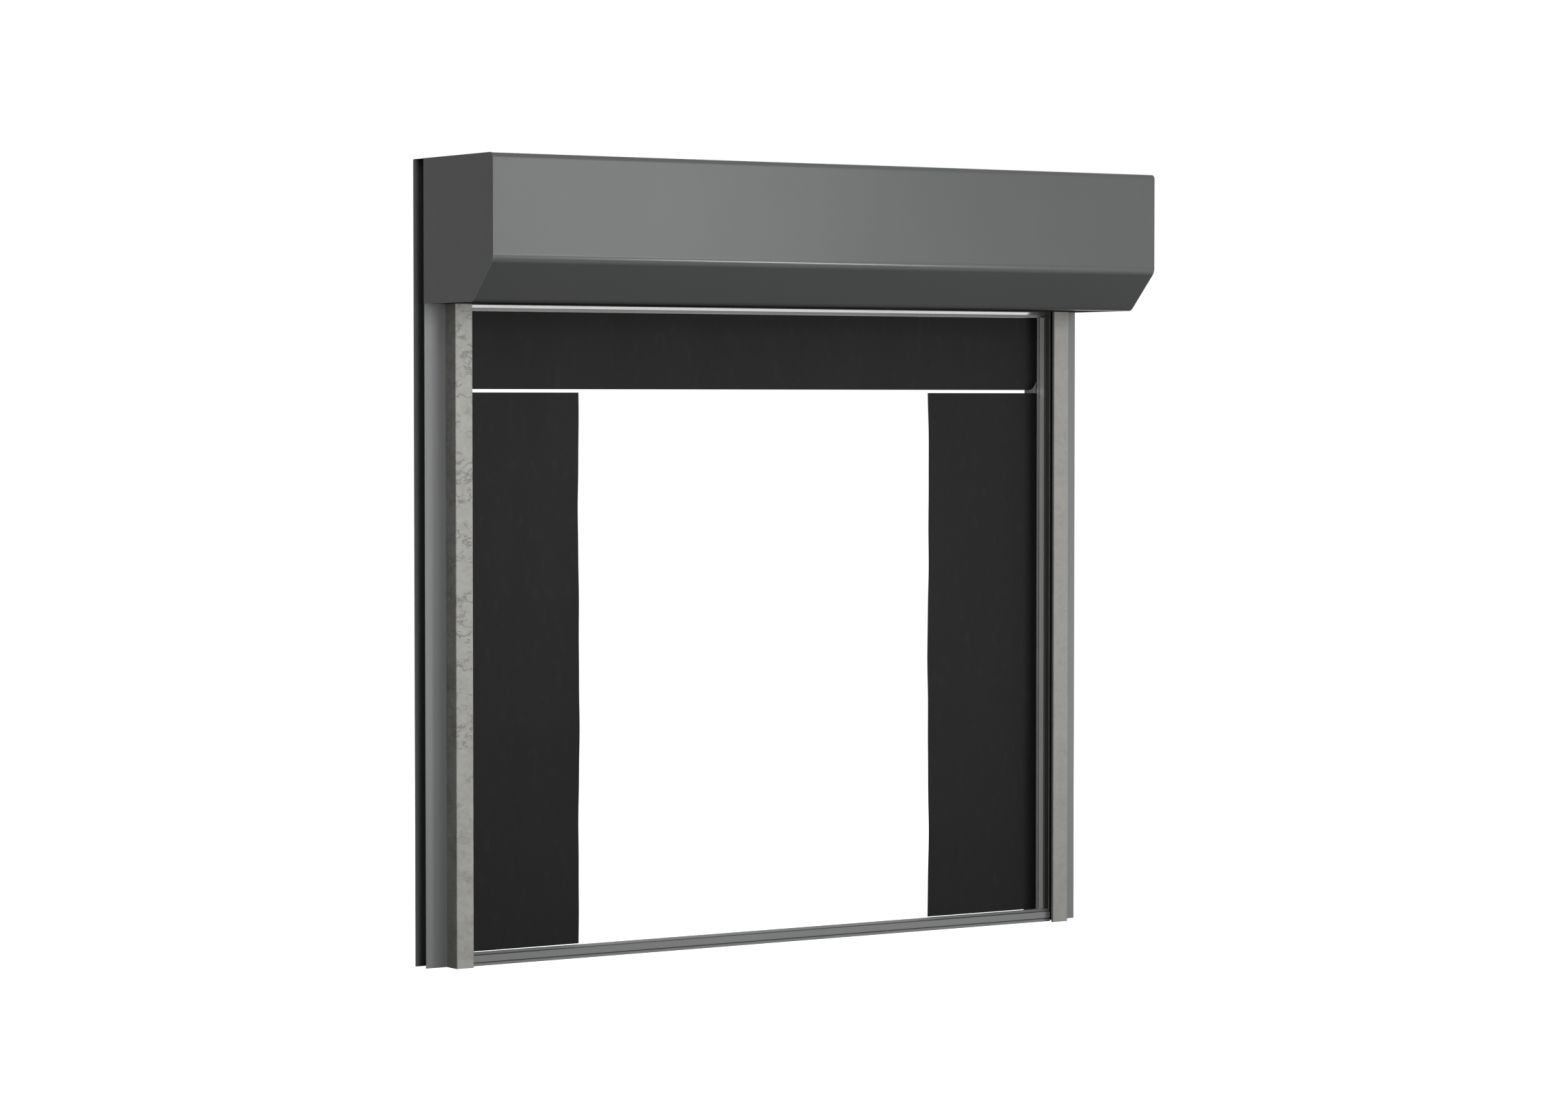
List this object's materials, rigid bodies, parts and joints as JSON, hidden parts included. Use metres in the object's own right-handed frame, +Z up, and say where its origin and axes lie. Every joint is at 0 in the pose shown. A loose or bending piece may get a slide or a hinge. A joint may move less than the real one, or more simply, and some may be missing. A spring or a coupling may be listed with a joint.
{
  "type": "loading dock shutter",
  "caption": "Roller shutter for a loading dock: wall frame with guides and roller box, wound slat curtain, rubber side and top flaps, bright inner trim and a foot rail.",
  "frame": {"origin": "middle of the doorway, at floor level, on the wall plane that the frame is bolted against", "axes": "+X to the right as seen from outside, +Y into the wall, +Z up"},
  "size_m": [3.4, 0.742, 3.398],
  "materials": {
    "box_paint": "matt powder coat",
    "frame_paint": "matt powder coat",
    "guide_metal": "dull, clouded mill finish",
    "trim_metal": "bright satin",
    "rail_metal": "dull satin",
    "rubber": "matt",
    "seal_rubber": "matt",
    "clamp_metal": "satin",
    "runner_plastic": "matt",
    "slat_metal": "satin",
    "barrel_steel": "zinc-coated",
    "cast_housing": "painted",
    "motor_paint": "satin",
    "fastener": "zinc-coated"
  },
  "bodies": {
    "wall_frame": {"left_side_frame": "frame_paint", "right_side_frame": "frame_paint", "header_panel": "frame_paint", "left_guide": "guide_metal", "right_guide": "guide_metal", "left_runner": "runner_plastic", "right_runner": "runner_plastic", "left_inlet": "runner_plastic", "right_inlet": "runner_plastic", "left_trim": "trim_metal", "right_trim": "trim_metal", "top_trim": "trim_metal", "left_flap_edge": "rubber", "right_flap_edge": "rubber", "top_flap_edge": "rubber", "left_clamp_bar": "clamp_metal", "right_clamp_bar": "clamp_metal", "top_clamp_bar": "clamp_metal", "left_clamp_screws": "fastener", "right_clamp_screws": "fastener", "top_clamp_screws": "fastener", "front_cover": "box_paint", "top_cover": "box_paint", "service_panel": "box_paint", "top_seam_strip": "box_paint", "left_end_plate": "box_paint", "right_end_plate": "box_paint", "left_box_bolts": "fastener", "right_box_bolts": "fastener", "sill_rail": "rail_metal", "left_guide_screws": "fastener", "right_guide_screws": "fastener", "left_reveal": "frame_paint", "right_reveal": "frame_paint", "left_bearing": "cast_housing", "gearbox": "cast_housing", "drive_motor": "motor_paint"},
    "curtain": {"lead_slats": "slat_metal", "end_slat": "slat_metal", "end_seal": "seal_rubber", "left_glider": "runner_plastic", "right_glider": "runner_plastic"},
    "barrel": {"barrel_tube": "barrel_steel", "left_end_disc": "barrel_steel", "right_end_disc": "barrel_steel", "left_stub_shaft": "barrel_steel", "right_stub_shaft": "barrel_steel", "wound_slats": "slat_metal", "curtain_straps": "barrel_steel"},
    "left_flap_sheet": {"left_flap": "rubber"},
    "right_flap_sheet": {"right_flap": "rubber"},
    "top_flap_sheet": {"top_flap": "rubber"}
  },
  "joints": [
    {"name": "curtain_travel", "type": "slide", "parent": "wall_frame", "child": "curtain", "axis": [0, 0, -1], "range_m": [0, 2.7425]},
    {"name": "barrel_spin", "type": "hinge", "parent": "wall_frame", "child": "barrel", "pos_m": [0, -0.30238, 3.16], "axis": [-1, 0, 0], "range_deg": [0, 1068]},
    {"name": "left_flap_bend", "type": "hinge", "parent": "wall_frame", "child": "left_flap_sheet", "pos_m": [-1.5192, -0.0315, 1.235], "axis": [0, 0, 1], "range_deg": [-5, 85], "stiffness_Nm_per_rad": 3},
    {"name": "right_flap_bend", "type": "hinge", "parent": "wall_frame", "child": "right_flap_sheet", "pos_m": [1.5192, -0.0315, 1.235], "axis": [0, 0, -1], "range_deg": [-5, 85], "stiffness_Nm_per_rad": 3},
    {"name": "top_flap_swing", "type": "hinge", "parent": "wall_frame", "child": "top_flap_sheet", "pos_m": [0, -0.0315, 2.7632], "axis": [1, 0, 0], "range_deg": [-8, 80]}
  ],
  "couplings": [
    {"joint": "barrel_spin", "follows": "curtain_travel", "rad_per_m": 6.7934}
  ]
}
